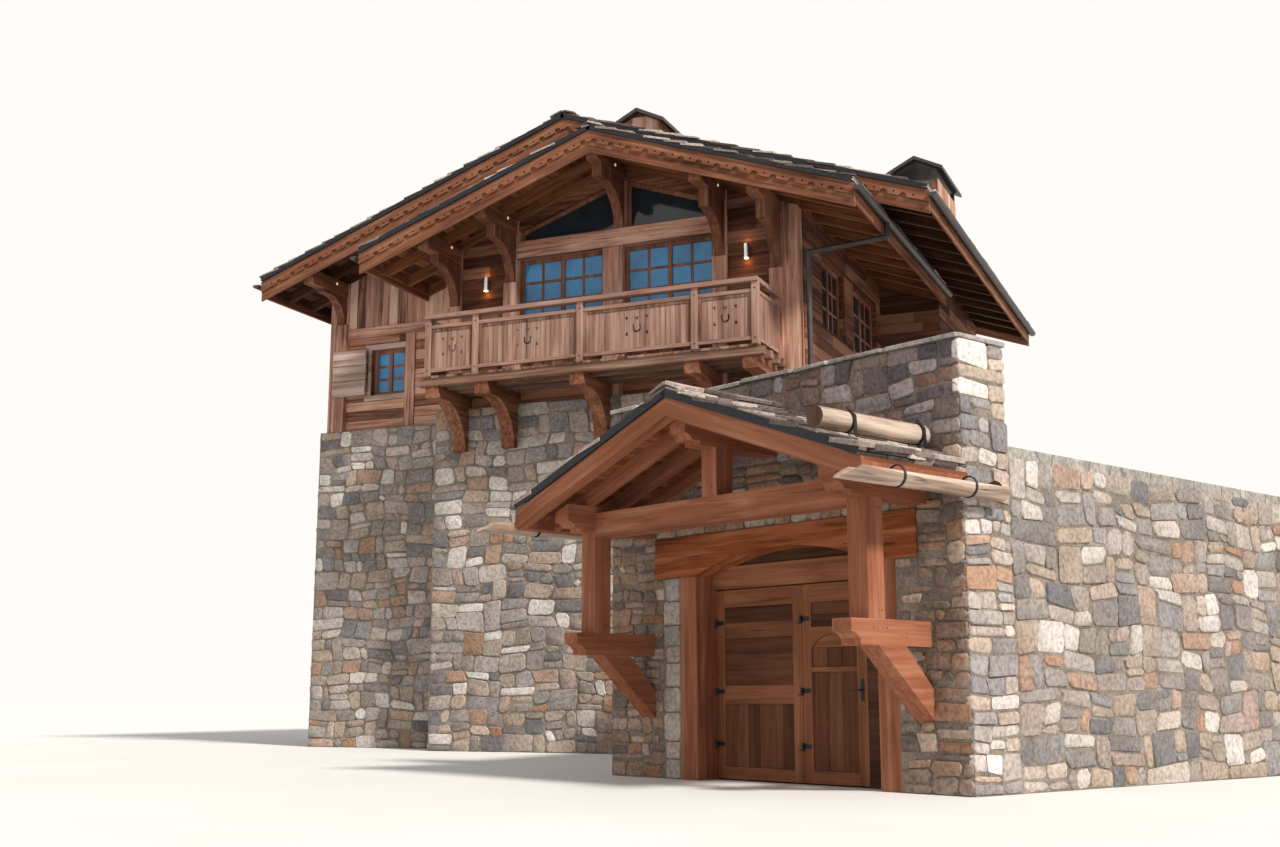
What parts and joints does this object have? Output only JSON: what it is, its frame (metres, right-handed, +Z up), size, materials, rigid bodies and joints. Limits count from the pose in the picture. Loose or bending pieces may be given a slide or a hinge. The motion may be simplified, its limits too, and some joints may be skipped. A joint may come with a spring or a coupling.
{
  "type": "alpine chalet with garage wing",
  "caption": "Alpine chalet of stone and timber with slab roofs, a carved balcony and a stone garage wing behind a timber porch.",
  "frame": {"origin": "on the ground below the middle of the balcony front, in the front wall's plane", "axes": "+X to the right along the balcony front, +Y back into the slope, +Z up"},
  "size_m": [18.1406, 19.6809, 11.95],
  "materials": {
    "rubble_stone": "rough",
    "dressed_stone": "rough",
    "porch_timber": "satin",
    "door_timber": "satin",
    "iron": "matte",
    "roof_boards": "matte",
    "roof_stone": "rough",
    "edge_timber": "satin",
    "log_timber": "matte",
    "floor_boards": "matte",
    "plank_timber": "matte",
    "frame_timber": "matte",
    "window_timber": "satin",
    "window_glass": "clear",
    "balcony_timber": "matte",
    "dark_metal": "satin",
    "lamp_steel": "brushed"
  },
  "bodies": {
    "building": {"garage_piers": "rubble_stone", "garage_wall_over_door": "rubble_stone", "terrace_walls": "rubble_stone", "stone_cross_walls": "rubble_stone", "stone_side_walls": "rubble_stone", "terrace_slab": "dressed_stone", "parapet_coping": "dressed_stone", "arch_beam": "porch_timber", "porch_posts": "porch_timber", "porch_brackets": "porch_timber", "porch_truss": "porch_timber", "porch_beams": "porch_timber", "porch_rafters": "porch_timber", "door_jambs": "door_timber", "door_transom": "door_timber", "jamb_pintles": "iron", "porch_deck": "roof_boards", "roof_decks": "roof_boards", "porch_slabs": "roof_stone", "roof_slabs": "roof_stone", "porch_edge_boards": "edge_timber", "bargeboards": "edge_timber", "eave_boards": "edge_timber", "porch_logs": "log_timber", "floors": "floor_boards", "bay_front_wall": "plank_timber", "bay_side_walls": "plank_timber", "wing_front_wall": "plank_timber", "rear_side_walls": "plank_timber", "rear_cross_walls": "plank_timber", "chimney_stacks": "plank_timber", "facade_posts": "frame_timber", "lintel_beams": "frame_timber", "roof_rafters": "frame_timber", "roof_purlins": "frame_timber", "roof_braces": "frame_timber", "window_frames": "window_timber", "shutter": "window_timber", "window_glass": "window_glass", "balcony_boards": "balcony_timber", "balcony_joists": "balcony_timber", "balcony_brackets": "balcony_timber", "balcony_rail": "balcony_timber", "balcony_panels": "balcony_timber", "rainwater_goods": "dark_metal", "chimney_caps": "dark_metal", "wall_lamps": "lamp_steel"},
    "wide_door": {"wide_leaf": "door_timber", "wide_leaf_irons": "iron"},
    "narrow_door": {"narrow_leaf": "door_timber", "narrow_leaf_irons": "iron"}
  },
  "joints": [
    {"name": "wide_leaf_hinge", "type": "hinge", "parent": "building", "child": "wide_door", "pos_m": [4.33441, -6.60451, 0.35], "axis": [0, 0, 1], "range_deg": [-80, 0]},
    {"name": "narrow_leaf_hinge", "type": "hinge", "parent": "wide_door", "child": "narrow_door", "pos_m": [5.49958, -7.16277, 0.35], "axis": [0, 0, 1], "range_deg": [-90, 0]}
  ]
}
